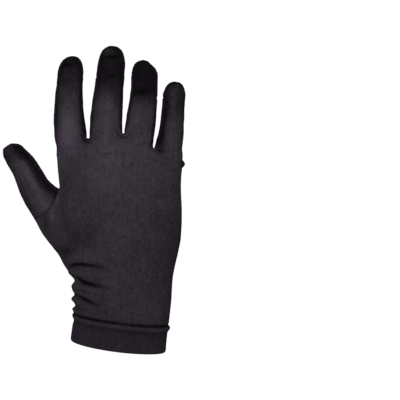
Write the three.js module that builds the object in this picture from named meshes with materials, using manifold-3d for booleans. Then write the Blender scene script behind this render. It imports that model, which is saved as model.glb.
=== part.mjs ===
// A thin knitted glove liner for a right hand, in the rounded form that it has when worn.
// X runs from the thumb to the little finger, Y from the back of the hand to the palm, Z from the wrist
// opening to the fingertips. The origin is the centre of the wrist opening.

import * as THREE from 'three';
import { mergeVertices } from 'three/addons/utils/BufferGeometryUtils.js';
import Module from 'manifold-3d';

const wasm = await Module();
wasm.setup();

// Sizes in millimetres
const clothWall = 1.0;
const hemWall = 2.0;
const seamGap = 0.3;

const cuffWidth = 75;
const cuffDepth = 50;
const cuffHeight = 21;
const cuffTilt = THREE.MathUtils.degToRad(7.5);
const cuffLean = THREE.MathUtils.degToRad(4);

const palmWidth = 97;
const palmDepth = 32;
const palmHeight = 142;

const fingerRoot = 16;
const fingerDepthShare = 0.84;
const fingerCurl = 11;

const thumbBase = 27;
const thumbReach = 85;
const thumbRise = 110;
const thumbForward = 15;
const thumbWidth = 20.4;
const thumbDepth = 19.4;
const thumbSideSeam = 6;

const webRadius = 8.5;
const fourchetteWidth = 11;

const handSegments = 36;
const fingerSegments = 16;
const webSegments = 16;

// The palm's sections, from the cuff seam up. up is a share of palmHeight. palm blends the widths and
// depths from the cuff's (0) to the palm's (1), and the last four columns are shares of that blend.
const palmRows = [
  { up: 0.0, palm: 0.0, left: 0.472, right: 0.524, back: 0.49, front: 0.49 },
  { up: 0.085, palm: 0.0, left: 0.487, right: 0.545, back: 0.475, front: 0.49 },
  { up: 0.17, palm: 0.2, left: 0.466, right: 0.526, back: 0.49, front: 0.525 },
  { up: 0.254, palm: 0.4, left: 0.468, right: 0.506, back: 0.5, front: 0.55 },
  { up: 0.345, palm: 0.7, left: 0.45, right: 0.502, back: 0.53, front: 0.59 },
  { up: 0.45, palm: 1.0, left: 0.433, right: 0.502, back: 0.563, front: 0.625 },
  { up: 0.585, palm: 1.0, left: 0.457, right: 0.509, back: 0.53, front: 0.545 },
  { up: 0.711, palm: 1.0, left: 0.47, right: 0.501, back: 0.5, front: 0.485 },
  { up: 0.782, palm: 1.0, left: 0.472, right: 0.5, back: 0.47, front: 0.445 },
  { up: 0.845, palm: 1.0, left: 0.479, right: 0.513, back: 0.425, front: 0.4 },
  { up: 0.9, palm: 1.0, left: 0.486, right: 0.511, back: 0.365, front: 0.345 },
  { up: 0.93, palm: 1.0, left: 0.484, right: 0.502, back: 0.315, front: 0.3 },
];

// Heights of the palm's rings, as shares of palmHeight: close together in the gathers of the wrist.
const palmRings = [
  0.0, 0.028, 0.055, 0.084, 0.112, 0.15, 0.19, 0.23, 0.272, 0.31, 0.37, 0.45, 0.54, 0.64, 0.74, 0.83,
  0.89, 0.93,
];

// How far the hand's middle plane lies towards the palm: up is a share of palmHeight above the cuff
// seam, forward a share of fingerCurl.
const middleRows = [
  { up: -0.2, forward: 0.0 },
  { up: 0.3, forward: -0.02 },
  { up: 0.9, forward: -0.14 },
  { up: 1.1, forward: -0.02 },
  { up: 1.3, forward: 0.38 },
  { up: 1.5, forward: 1.0 },
  { up: 1.7, forward: 1.9 },
];

// Gathers that run round the wrist from the thumb side: edge is the height of the groove at the thumb
// side and half the groove's breadth is half, as shares of palmHeight. deep is a share of cuffDepth,
// reach, along the back, a share of cuffWidth, and fall is how steeply the groove drops.
const gatherRows = [
  { edge: 0.272, half: 0.02, deep: 0.026, reach: 0.48, fall: 0.05 },
  { edge: 0.19, half: 0.018, deep: 0.05, reach: 0.36, fall: 0.16 },
  { edge: 0.112, half: 0.018, deep: 0.046, reach: 0.28, fall: 0.22 },
  { edge: 0.055, half: 0.015, deep: 0.04, reach: 0.14, fall: 0.1 },
  { edge: 0.0, half: 0.015, deep: 0.03, reach: 0.2, fall: 0.0 },
];

// root, lean and width are shares of palmWidth, crotch and length shares of palmHeight. bow, a share of
// the finger's width, bends it sideways at half its length.
const fingers = [
  { name: 'index', root: -0.37, lean: 0.002, crotch: 0.99, length: 0.4542, width: 0.2206, bow: -0.13 },
  { name: 'middle', root: -0.1, lean: 0.055, crotch: 1.005, length: 0.5, width: 0.2309, bow: -0.02 },
  { name: 'ring', root: 0.16, lean: 0.042, crotch: 0.985, length: 0.4402, width: 0.2196, bow: 0.09 },
  { name: 'little', root: 0.398, lean: 0.06, crotch: 0.945, length: 0.3592, width: 0.1876, bow: 0.05 },
];

// A finger's sections: along is a share of its length, wide and deep are shares of its width and depth.
const fingerRows = [
  { along: 0.0, wide: 1.17, deep: 1.13 },
  { along: 0.2, wide: 1.12, deep: 1.1 },
  { along: 0.35, wide: 1.06, deep: 1.04 },
  { along: 0.5, wide: 1.0, deep: 1.0 },
  { along: 0.65, wide: 0.98, deep: 0.97 },
  { along: 0.8, wide: 0.975, deep: 0.92 },
  { along: 0.88, wide: 0.86, deep: 0.8 },
  { along: 0.94, wide: 0.69, deep: 0.64 },
  { along: 0.98, wide: 0.42, deep: 0.39 },
];

// The thumb's sections, from inside the palm out to the tip. out, up and front place the middle of a
// section as shares of thumbReach, thumbRise and thumbForward; wide and deep are shares of its sizes.
const thumbRows = [
  { out: 0.2, up: 0.02, front: 0.2, wide: 1.15, deep: 1.35 },
  { out: 0.27, up: 0.14, front: 0.42, wide: 1.55, deep: 1.7 },
  { out: 0.35, up: 0.275, front: 0.5, wide: 1.75, deep: 1.75 },
  { out: 0.5, up: 0.45, front: 0.56, wide: 1.92, deep: 1.6 },
  { out: 0.645, up: 0.575, front: 0.64, wide: 1.5, deep: 1.36 },
  { out: 0.77, up: 0.69, front: 0.76, wide: 1.16, deep: 1.14 },
  { out: 0.855, up: 0.818, front: 0.89, wide: 1.02, deep: 1.0 },
  { out: 0.93, up: 0.9, front: 0.95, wide: 0.97, deep: 0.93 },
  { out: 0.965, up: 0.94, front: 0.98, wide: 0.88, deep: 0.82 },
  { out: 0.985, up: 0.972, front: 1.0, wide: 0.66, deep: 0.6 },
];
const thumbTip = { out: 0.99, up: 0.995, front: 1.0 };

// The crotches between neighbouring fingers: up is a share of palmHeight, tall the strip's height
// above the crotch as a share of the shorter finger.
const webs = [
  { name: 'fourchette_index_middle', from: 'index', to: 'middle', up: 0.99, tall: 0.74 },
  { name: 'fourchette_middle_ring', from: 'middle', to: 'ring', up: 1.022, tall: 0.72 },
  { name: 'fourchette_ring_little', from: 'ring', to: 'little', up: 0.945, tall: 0.74 },
];

// Seams as seen from the palm: across is a share of palmWidth, up a share of palmHeight.
const thenarSeam = [
  { across: -0.47, up: 0.73 },
  { across: -0.435, up: 0.728 },
  { across: -0.4, up: 0.72 },
  { across: -0.357, up: 0.697 },
  { across: -0.327, up: 0.668 },
  { across: -0.307, up: 0.626 },
  { across: -0.299, up: 0.563 },
  { across: -0.292, up: 0.483 },
  { across: -0.276, up: 0.406 },
  { across: -0.261, up: 0.353 },
  { across: -0.266, up: 0.301 },
  { across: -0.292, up: 0.248 },
  { across: -0.334, up: 0.206 },
  { across: -0.45, up: 0.16 },
  { across: -1.1, up: 0.13 },
];
const thumbOutside = [
  { across: -1.1, up: 1.15 },
  { across: -0.64, up: 1.15 },
  { across: -0.585, up: 0.9 },
];
const thumbBackSeam = [
  { across: -0.479, up: 0.724 },
  { across: -0.487, up: 0.68 },
  { across: -0.506, up: 0.642 },
  { across: -0.532, up: 0.61 },
  { across: -0.562, up: 0.588 },
  { across: -0.6, up: 0.566 },
  { across: -0.66, up: 0.546 },
  { across: -1.1, up: 0.52 },
];
const littleFrontSeam = [
  { across: 0.296, up: 0.97 },
  { across: 0.262, up: 0.91 },
  { across: 0.237, up: 0.868 },
  { across: 0.288, up: 0.852 },
  { across: 0.35, up: 0.842 },
  { across: 0.42, up: 0.84 },
  { across: 0.49, up: 0.846 },
  { across: 0.7, up: 0.85 },
  { across: 0.7, up: 1.4 },
  { across: 0.33, up: 1.4 },
];

// The cuff's sections: up is a share of cuffHeight, wide and deep are shares of the cuff's sizes, and
// thick is a share of hemWall.
const cuffRows = [
  { up: 0.0, wide: 0.972, deep: 0.965, thick: 0.6 },
  { up: 0.06, wide: 0.99, deep: 0.985, thick: 1.0 },
  { up: 0.3, wide: 1.0, deep: 1.0, thick: 1.0 },
  { up: 0.65, wide: 0.995, deep: 0.995, thick: 1.0 },
  { up: 0.93, wide: 0.99, deep: 0.985, thick: 1.0 },
  { up: 1.0, wide: 0.98, deep: 0.972, thick: 0.75 },
];

function columnAt(rows, place, column, at) {
  const last = rows.length - 1;
  const next = THREE.MathUtils.clamp(rows.findIndex((row) => row[place] > at), 1, last);
  const start = at >= rows[last][place] ? last : next;
  const a = rows[start - 1];
  const b = rows[start];
  const before = rows[Math.max(start - 2, 0)];
  const after = rows[Math.min(start + 1, last)];
  const span = b[place] - a[place];
  const share = THREE.MathUtils.clamp((at - a[place]) / span, 0, 1);
  const slopeA = (b[column] - before[column]) / (b[place] - before[place]) * span;
  const slopeB = (after[column] - a[column]) / (after[place] - a[place]) * span;
  const square = share * share;
  const cube = square * share;
  return (2 * cube - 3 * square + 1) * a[column] + (cube - 2 * square + share) * slopeA
    + (3 * square - 2 * cube) * b[column] + (cube - square) * slopeB;
}

function heightAt(up) {
  return cuffHeight + up * palmHeight;
}

function middleAt(height) {
  return fingerCurl * columnAt(middleRows, 'up', 'forward', (height - cuffHeight) / palmHeight);
}

// An oval ring with its own depth to the back and to the front. power 2 is an ellipse, more is squarer.
function ovalRing({ left, right, back, front, power, segments }) {
  const ring = [];
  for (let i = 0; i < segments; i++) {
    const turn = (2 * Math.PI * i) / segments;
    const c = Math.cos(turn);
    const s = Math.sin(turn);
    const x = Math.sign(c) * Math.abs(c) ** (2 / power);
    const y = Math.sign(s) * Math.abs(s) ** (2 / power);
    const half = (left + right) / 2;
    ring.push(new THREE.Vector3((right - left) / 2 + half * x, y < 0 ? y * back : y * front, 0));
  }
  return ring;
}

// The wrist's sections tip towards the little finger and lean forward with the cuff.
function tipRing(ring, height, share) {
  const turn = new THREE.Euler(cuffLean * share, cuffTilt * share, 0);
  const middle = new THREE.Vector3(0, middleAt(height), height);
  return ring.map((point) => point.clone().applyEuler(turn).add(middle));
}

// A closed solid through rings of equal point count, with a flat or pointed cap at either end.
function loft(rings, firstPoint, lastPoint) {
  const count = rings[0].length;
  const centre = (ring) => ring.reduce((sum, p) => sum.add(p), new THREE.Vector3()).divideScalar(count);
  const points = rings.flat();
  const first = points.push(firstPoint ?? centre(rings[0])) - 1;
  const last = points.push(lastPoint ?? centre(rings[rings.length - 1])) - 1;
  const faces = [];
  for (let i = 0; i < count; i++) {
    const j = (i + 1) % count;
    faces.push(first, j, i);
    for (let row = 0; row < rings.length - 1; row++) {
      const low = row * count;
      const high = low + count;
      faces.push(low + i, low + j, high + j, low + i, high + j, high + i);
    }
    const top = (rings.length - 1) * count;
    faces.push(last, top + i, top + j);
  }
  return solidOf(points.flatMap((p) => [p.x, p.y, p.z]), faces);
}

function solidOf(positions, faces) {
  const mesh = new wasm.Mesh({
    numProp: 3,
    vertProperties: new Float32Array(positions),
    triVerts: new Uint32Array(faces),
  });
  return new wasm.Manifold(mesh);
}

function solidFromGeometry(geometry) {
  const bare = geometry.clone();
  bare.deleteAttribute('normal');
  bare.deleteAttribute('uv');
  const merged = mergeVertices(bare, 1e-4);
  return solidOf(merged.attributes.position.array, merged.index.array);
}

function gatherDepth(point, left, up) {
  let depth = 0;
  const along = (point.x + left) / cuffWidth;
  for (const gather of gatherRows) {
    const groove = gather.edge - gather.fall * along * (cuffWidth / palmHeight);
    const across = (up - groove) / gather.half;
    const fade = along / gather.reach;
    depth += gather.deep * cuffDepth * Math.exp(-across * across - fade * fade);
  }
  return depth;
}

function palmRing(up, inset) {
  const value = (column) => columnAt(palmRows, 'up', column, up);
  const width = THREE.MathUtils.lerp(cuffWidth, palmWidth, value('palm'));
  const depth = THREE.MathUtils.lerp(cuffDepth, palmDepth, value('palm'));
  const left = value('left') * width;
  const ring = ovalRing({
    left: left - inset,
    right: value('right') * width - inset,
    back: value('back') * depth - inset,
    front: value('front') * depth - inset,
    power: 2.15 + 0.35 * value('palm'),
    segments: handSegments,
  });
  for (const point of ring) {
    const flat = Math.hypot(point.x, point.y);
    point.multiplyScalar(1 - gatherDepth(point, left, up) / flat);
  }
  const height = heightAt(up);
  const tip = 1 - THREE.MathUtils.smoothstep(up, 0.12, 0.6);
  return tipRing(ring, height, tip);
}

function palmForm(inset) {
  const ups = [...palmRings];
  ups[0] += (inset > 0 ? -seamGap : seamGap) / palmHeight;
  ups[ups.length - 1] -= inset / palmHeight;
  return loft(ups.map((up) => palmRing(up, inset)));
}

function fingerMiddle(finger, along) {
  const height = heightAt(finger.crotch + along * finger.length);
  const bend = finger.bow * finger.width * 4 * Math.max(along, 0) * (1 - along);
  const x = palmWidth * (finger.root + finger.lean * along + bend);
  return new THREE.Vector3(x, middleAt(height), height);
}

function fingerForm(finger, inset) {
  const width = finger.width * palmWidth;
  const depth = width * fingerDepthShare;
  const start = (inset - fingerRoot) / (finger.length * palmHeight);
  const root = { along: start, wide: 0.85, deep: 1.0 };
  const rings = [root, ...fingerRows].map((row) => {
    const halfWidth = (row.wide * width) / 2 - inset;
    const halfDepth = (row.deep * depth) / 2 - inset;
    const middle = fingerMiddle(finger, row.along);
    return ovalRing({
      left: halfWidth,
      right: halfWidth,
      back: halfDepth,
      front: halfDepth,
      power: 2.1,
      segments: fingerSegments,
    }).map((point) => point.add(middle));
  });
  const tip = fingerMiddle(finger, 1);
  tip.z -= inset;
  return loft(rings, null, tip);
}

function thumbPoint(row) {
  return new THREE.Vector3(
    -row.out * thumbReach,
    row.front * thumbForward,
    cuffHeight + thumbBase + row.up * thumbRise,
  );
}

function thumbForm(inset) {
  const rings = thumbRows.map((row, i) => {
    const before = thumbPoint(thumbRows[Math.max(i - 1, 0)]);
    const after = thumbPoint(thumbRows[i + 1] ?? thumbTip);
    const along = after.sub(before).normalize();
    const depthWay = new THREE.Vector3(0, 1, 0).addScaledVector(along, -along.y).normalize();
    const widthWay = new THREE.Vector3().crossVectors(depthWay, along);
    const turn = new THREE.Matrix4().makeBasis(widthWay, depthWay, along).setPosition(thumbPoint(row));
    const halfWidth = (row.wide * thumbWidth) / 2 - inset;
    const halfDepth = (row.deep * thumbDepth) / 2 - inset;
    return ovalRing({
      left: halfWidth,
      right: halfWidth,
      back: halfDepth,
      front: halfDepth,
      power: 2.1,
      segments: fingerSegments,
    }).map((point) => point.applyMatrix4(turn));
  });
  const tip = thumbPoint(thumbTip);
  tip.z -= inset;
  return loft(rings, null, tip);
}

function fingerNamed(name) {
  return fingers.find((finger) => finger.name === name);
}

// A lying cylinder between two fingers rounds the cloth over their crotch.
function webForm(web, inset) {
  const from = fingerMiddle(fingerNamed(web.from), 0);
  const to = fingerMiddle(fingerNamed(web.to), 0);
  const height = heightAt(web.up) - webRadius;
  const geometry = new THREE.CylinderGeometry(
    webRadius - inset, webRadius - inset, to.x - from.x, webSegments,
  );
  geometry.rotateZ(Math.PI / 2);
  geometry.translate((from.x + to.x) / 2, middleAt(height), height);
  return solidFromGeometry(geometry);
}

function handForm(inset) {
  const forms = [
    palmForm(inset),
    thumbForm(inset),
    ...fingers.map((finger) => fingerForm(finger, inset)),
    ...webs.map((web) => webForm(web, inset)),
  ];
  return forms.reduce((sum, form) => sum.add(form));
}

// Cutters: outlines in the plane of the palm are pushed through along Y, outlines in the plane that
// divides the fingers along X.
function grownOutline(points, grow) {
  const turn = THREE.ShapeUtils.isClockWise(points) ? -1 : 1;
  return points.map((point, i) => {
    const before = points[(i + points.length - 1) % points.length];
    const after = points[(i + 1) % points.length];
    const inWay = point.clone().sub(before).normalize();
    const outWay = after.clone().sub(point).normalize();
    const way = inWay.add(outWay).normalize();
    return new THREE.Vector2(point.x + turn * way.y * grow, point.y - turn * way.x * grow);
  });
}

function seamOutline(rows, grow) {
  const points = rows.map((row) => new THREE.Vector2(row.across * palmWidth, heightAt(row.up)));
  return grownOutline(points, grow);
}

function cutAlongY(outline, low, high) {
  const geometry = new THREE.ExtrudeGeometry(new THREE.Shape(outline), {
    depth: high - low,
    bevelEnabled: false,
    steps: 1,
  });
  geometry.rotateX(Math.PI / 2);
  geometry.translate(0, high, 0);
  return solidFromGeometry(geometry);
}

function cutAlongX(outline, low, high) {
  const geometry = new THREE.ExtrudeGeometry(new THREE.Shape(outline), {
    depth: high - low,
    bevelEnabled: false,
    steps: 1,
  });
  geometry.rotateY(Math.PI / 2);
  geometry.rotateX(Math.PI / 2);
  geometry.translate(low, 0, 0);
  return solidFromGeometry(geometry);
}

const beyond = 2 * Math.max(palmWidth, palmDepth);

// Everything on the palm side of the middle plane. The outline's x is Y and its y is Z.
function palmSide(shift) {
  const outline = [];
  const top = heightAt(1.7);
  for (let i = 0; i <= 14; i++) {
    const height = -cuffHeight + ((top + cuffHeight) * i) / 14;
    outline.push(new THREE.Vector2(middleAt(height) + shift, height));
  }
  outline.push(new THREE.Vector2(beyond, top), new THREE.Vector2(beyond, -cuffHeight));
  return cutAlongX(outline, -beyond, beyond);
}

function fourchetteCutter(web, grow) {
  const from = fingerNamed(web.from);
  const to = fingerNamed(web.to);
  const low = heightAt(web.up) - 0.45 * fourchetteWidth;
  const high = heightAt(web.up + web.tall * Math.min(from.length, to.length));
  const sides = [[], []];
  for (let i = 0; i <= 8; i++) {
    const share = i / 8;
    const height = THREE.MathUtils.lerp(low, high, share);
    const half = (fourchetteWidth / 2) * Math.sqrt(Math.min(1, 0.3 + 7 * share)) * (1 - 0.6 * share ** 2);
    sides[0].push(new THREE.Vector2(middleAt(height) - half, height));
    sides[1].unshift(new THREE.Vector2(middleAt(height) + half, height));
  }
  const outline = grownOutline([...sides[0], ...sides[1]], grow);
  return cutAlongX(outline, fingerMiddle(from, 0.4).x - grow, fingerMiddle(to, 0.4).x + grow);
}

function thenarColumn(grow) {
  return cutAlongY(seamOutline([...thenarSeam, ...thumbOutside], grow), -beyond, beyond);
}

function thumbCutter(grow) {
  const gusset = cutAlongY(
    seamOutline([...thenarSeam, ...thumbOutside], grow), thumbSideSeam - grow, beyond,
  );
  const sleeve = cutAlongY(seamOutline([...thumbBackSeam, ...thumbOutside], grow), -beyond, beyond);
  return gusset.add(sleeve);
}

function littleFrontCutter(grow) {
  const column = cutAlongY(seamOutline(littleFrontSeam, grow), -beyond, beyond);
  return column.intersect(palmSide(seamGap - grow));
}

// The cuff is a ring: its outer sections go up and its inner sections come down again.
function cuffRing(row, inset) {
  const halfWidth = (row.wide * cuffWidth) / 2 - inset;
  const halfDepth = (row.deep * cuffDepth) / 2 - inset;
  const shift = ((palmRows[0].right - palmRows[0].left) * cuffWidth * row.up) / 2;
  const ring = ovalRing({
    left: halfWidth - shift,
    right: halfWidth + shift,
    back: halfDepth,
    front: halfDepth,
    power: 2.15,
    segments: handSegments,
  });
  return tipRing(ring, row.up * cuffHeight, 1);
}

function cuffSolid() {
  const outer = cuffRows.map((row) => cuffRing(row, 0));
  const inner = cuffRows.map((row) => cuffRing(row, hemWall * row.thick)).reverse();
  const rings = [...outer, ...inner];
  const faces = [];
  for (let row = 0; row < rings.length; row++) {
    const low = row * handSegments;
    const high = ((row + 1) % rings.length) * handSegments;
    for (let i = 0; i < handSegments; i++) {
      const j = (i + 1) % handSegments;
      faces.push(low + i, low + j, high + j, low + i, high + j, high + i);
    }
  }
  return solidOf(rings.flat().flatMap((p) => [p.x, p.y, p.z]), faces);
}

const shell = handForm(0).subtract(handForm(clothWall));
const strips = webs.map((web) => fourchetteCutter(web, seamGap));
const cut = (solid, ...tools) => tools.reduce((rest, tool) => rest.subtract(tool), solid);

const pieces = {
  back_panel: cut(shell, palmSide(0).subtract(thenarColumn(0)), thumbCutter(seamGap), ...strips),
  palm_panel: cut(
    shell.intersect(palmSide(seamGap)), thenarColumn(seamGap), littleFrontCutter(seamGap), ...strips,
  ),
  little_finger_front: cut(shell.intersect(littleFrontCutter(0)), ...strips),
  thumb: shell.intersect(thumbCutter(0)),
  cuff_band: cuffSolid(),
};
for (const web of webs) {
  pieces[web.name] = shell.intersect(fourchetteCutter(web, 0));
}

const mainCloth = { color: 0x342f35, roughness: 0.9, metalness: 0 };
const darkCloth = { color: 0x252127, roughness: 0.92, metalness: 0 };

function geometryOf(solid) {
  const mesh = solid.getMesh();
  const geometry = new THREE.BufferGeometry();
  geometry.setAttribute('position', new THREE.BufferAttribute(mesh.vertProperties, 3));
  geometry.setIndex(new THREE.BufferAttribute(mesh.triVerts, 1));
  return geometry;
}

const group = new THREE.Group();
for (const [name, solid] of Object.entries(pieces)) {
  const cloth = name === 'cuff_band' ? darkCloth : mainCloth;
  const mesh = new THREE.Mesh(geometryOf(solid), new THREE.MeshStandardMaterial(cloth));
  mesh.name = name;
  group.add(mesh);
}

export default group;
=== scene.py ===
import math
import bmesh
import bpy
import numpy as np
from mathutils import Matrix, Vector
from mathutils.bvhtree import BVHTree
from mathutils.kdtree import KDTree


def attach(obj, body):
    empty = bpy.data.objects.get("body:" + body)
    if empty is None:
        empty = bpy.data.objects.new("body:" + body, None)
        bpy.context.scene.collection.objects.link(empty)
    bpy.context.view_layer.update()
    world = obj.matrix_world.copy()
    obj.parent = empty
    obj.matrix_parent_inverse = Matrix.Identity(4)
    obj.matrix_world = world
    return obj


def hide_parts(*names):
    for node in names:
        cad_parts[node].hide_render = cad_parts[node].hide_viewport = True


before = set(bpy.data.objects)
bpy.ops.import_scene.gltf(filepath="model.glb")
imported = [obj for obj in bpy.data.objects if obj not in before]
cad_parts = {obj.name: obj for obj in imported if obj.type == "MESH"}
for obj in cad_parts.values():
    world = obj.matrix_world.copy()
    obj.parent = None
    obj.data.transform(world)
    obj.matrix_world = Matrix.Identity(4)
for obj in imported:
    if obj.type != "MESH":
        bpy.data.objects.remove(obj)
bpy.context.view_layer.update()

mm = 0.001
handNodes = [name for name in sorted(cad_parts) if name != "cuff_band"]


# small tools

def deselectAll():
    bpy.ops.object.select_all(action="DESELECT")


def makeActive(obj):
    deselectAll()
    obj.select_set(True)
    bpy.context.view_layer.objects.active = obj


def applyModifier(obj, kind, **settings):
    makeActive(obj)
    modifier = obj.modifiers.new(kind.title(), kind)
    for key, value in settings.items():
        setattr(modifier, key, value)
    bpy.ops.object.modifier_apply(modifier=modifier.name)


def objectFrom(bm, name):
    mesh = bpy.data.meshes.new(name)
    bm.to_mesh(mesh)
    bm.free()
    obj = bpy.data.objects.new(name, mesh)
    bpy.context.scene.collection.objects.link(obj)
    return obj


def readVectors(items, field):
    values = np.empty(len(items) * 3)
    items.foreach_get(field, values)
    return values.reshape(-1, 3)


def movePoints(obj, points):
    obj.data.vertices.foreach_set("co", points.ravel())
    obj.data.update()


def smoothStep(values, low, high):
    share = np.clip((values - low) / (high - low), 0, 1)
    return share * share * (3 - 2 * share)


def bell(values, width):
    return np.exp(-(values / width) ** 2)


def ripple(points, size, seed):
    # smooth values from -1 to 1 that change over about the given size
    rng = np.random.default_rng(seed)
    total = np.zeros(len(points))
    for turn in range(12):
        way = rng.normal(size=3)
        way /= np.linalg.norm(way)
        total += np.sin(points @ way * (2 * math.pi / size) * rng.uniform(0.6, 1.5) + rng.uniform(0, 2 * math.pi))
    return total / 12 * 2.2


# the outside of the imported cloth, as one closed form

form = {
    "voxel": 1.0 * mm,       # fine enough to close the walls
    "coarser": 1.08 * mm,    # for the finished skin
    "grow": 0.32 * mm,       # closes the gaps along the seams, and is lost again in the smoothing
    "plug": {"below": 12 * mm, "above": 0.6 * mm, "proud": 4 * mm},    # closes the wrist for the remesh
    "softenTurns": 14,
    "keepCrotch": 0.7,       # how much less the crotches are smoothed
    "knuckles": (130 * mm, 142 * mm, 160 * mm, 172 * mm),    # heights where their own smoothing fades in and out
    "knuckleTurns": 60,
}
wrist = {
    "width": 75 * mm,
    "depth": 50 * mm,
    "height": 21 * mm,
    "shift": 1.95 * mm,      # its upper edge lies this much nearer the little finger
    "tilt": math.radians(7.5),
    "lean": math.radians(4),
    "square": 2.15,
}
wristTurn = Matrix.Rotation(wrist["lean"], 3, "X") @ Matrix.Rotation(wrist["tilt"], 3, "Y")
wristWay = wristTurn @ Vector((0, 0, 1))


def wristPlace(x, y, height):
    # the wrist's rings are tilted, and stand straight above each other
    return wristTurn @ Vector((x, y, 0)) + Vector((0, 0, height))


def addPlug(low, high, proud):
    deselectAll()
    bpy.ops.mesh.primitive_cylinder_add(vertices=72, radius=0.5, depth=high - low, location=(0, 0, 0))
    plug = bpy.context.object
    for vert in plug.data.vertices:
        x, y, z = vert.co
        across, deep = x * (wrist["width"] + 2 * proud), y * (wrist["depth"] + 2 * proud)
        vert.co = wristPlace(across, deep, z + (low + high) / 2)
    return plug


def softGroup(obj, weights):
    group = obj.vertex_groups.new(name="soft")
    steps = np.round(weights, 1)
    for step in np.unique(steps[steps > 0]):
        group.add(np.flatnonzero(steps == step).tolist(), float(step), "REPLACE")
    return group.name


def keepOutside(obj):
    # of the remeshed shell's two skins, the outer one holds the highest point
    bm = bmesh.new()
    bm.from_mesh(obj.data)
    reached = {max(bm.verts, key=lambda vert: vert.co.z)}
    edge = list(reached)
    while edge:
        fresh = {link.other_vert(vert) for vert in edge for link in vert.link_edges} - reached
        reached |= fresh
        edge = list(fresh)
    bmesh.ops.delete(bm, geom=[vert for vert in bm.verts if vert not in reached], context="VERTS")
    bm.to_mesh(obj.data)
    bm.free()


# the narrow openings between the fingers, from the crotch up: (x, z, width) in mm
crotches = {
    "index_middle": [(-23.1, 159.3, 2.8), (-23.2, 165, 3.0), (-23.4, 171, 3.5), (-24.1, 180, 4.8)],
    "middle_ring": [(3.9, 163.0, 2.6), (4.3, 169, 2.8), (4.8, 176, 3.1), (5.2, 184, 3.6)],
    "ring_little": [(27.5, 152.3, 2.8), (28.6, 159, 2.9), (29.9, 166, 3.1), (31.1, 174, 3.5), (31.7, 182, 3.9)],
}


def openCrotch(hand, rows):
    # a wedge from the back of the glove to its palm is cut out
    corners = [(x - width / 2, z) for x, z, width in rows] + [(x + width / 2, z) for x, z, width in rows[::-1]]
    deselectAll()
    bpy.ops.mesh.primitive_circle_add(vertices=len(corners), radius=1 * mm, fill_type="NGON", location=(0, 0, 0))
    wedge = bpy.context.object
    for vert, (x, z) in zip(wedge.data.vertices, corners):
        vert.co = (x * mm, -30 * mm, z * mm)
    bpy.ops.object.mode_set(mode="EDIT")
    bpy.ops.mesh.select_all(action="SELECT")
    bpy.ops.mesh.extrude_region_move(TRANSFORM_OT_translate={"value": (0, 70 * mm, 0)})
    bpy.ops.mesh.select_all(action="SELECT")
    bpy.ops.mesh.normals_make_consistent(inside=False)
    bpy.ops.object.mode_set(mode="OBJECT")
    applyModifier(hand, "BOOLEAN", operation="DIFFERENCE", solver="EXACT", object=wedge)
    bpy.data.objects.remove(wedge)


def remesh(obj, size):
    obj.data.remesh_voxel_size = size
    makeActive(obj)
    bpy.ops.object.voxel_remesh()


def nearCrotch(points):
    near = np.zeros(len(points))
    for rows in crotches.values():
        for x, z, width in rows[:3]:
            near = np.maximum(near, bell(np.hypot(points[:, 0] - x * mm, points[:, 2] - z * mm), 5 * mm))
    return near


def makeForm():
    walls = bmesh.new()
    trees = {}
    for name in handNodes:
        solid = bmesh.new()
        solid.from_mesh(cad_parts[name].data)
        trees[name] = BVHTree.FromBMesh(solid)
        solid.free()
        walls.from_mesh(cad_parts[name].data)
    bmesh.ops.remove_doubles(walls, verts=walls.verts[:], dist=0.01 * mm)
    hand = objectFrom(walls, "hand_form")
    applyModifier(hand, "DISPLACE", strength=form["grow"], mid_level=0)
    plug = addPlug(-form["plug"]["below"], wrist["height"] + form["plug"]["above"], form["plug"]["proud"])
    makeActive(hand)
    plug.select_set(True)
    bpy.ops.object.join()
    remesh(hand, form["voxel"])
    keepOutside(hand)
    for rows in crotches.values():
        openCrotch(hand, rows)
    remesh(hand, form["coarser"])
    points = readVectors(hand.data.vertices, "co")
    group = softGroup(hand, 1 - form["keepCrotch"] * nearCrotch(points))
    applyModifier(hand, "SMOOTH", factor=0.5, iterations=form["softenTurns"], vertex_group=group)
    hand.vertex_groups.clear()
    points = readVectors(hand.data.vertices, "co")
    facing = np.abs(readVectors(hand.data.vertices, "normal")[:, 1])
    rising = smoothStep(points[:, 2], *form["knuckles"][:2])
    knuckles = rising * (1 - smoothStep(points[:, 2], *form["knuckles"][2:]))
    group = softGroup(hand, knuckles * smoothStep(facing, 0.6, 0.95))
    applyModifier(hand, "SMOOTH", factor=0.5, iterations=form["knuckleTurns"], vertex_group=group)
    hand.vertex_groups.clear()
    points = readVectors(hand.data.vertices, "co")
    movePoints(hand, settle(points))
    return hand, trees


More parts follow.
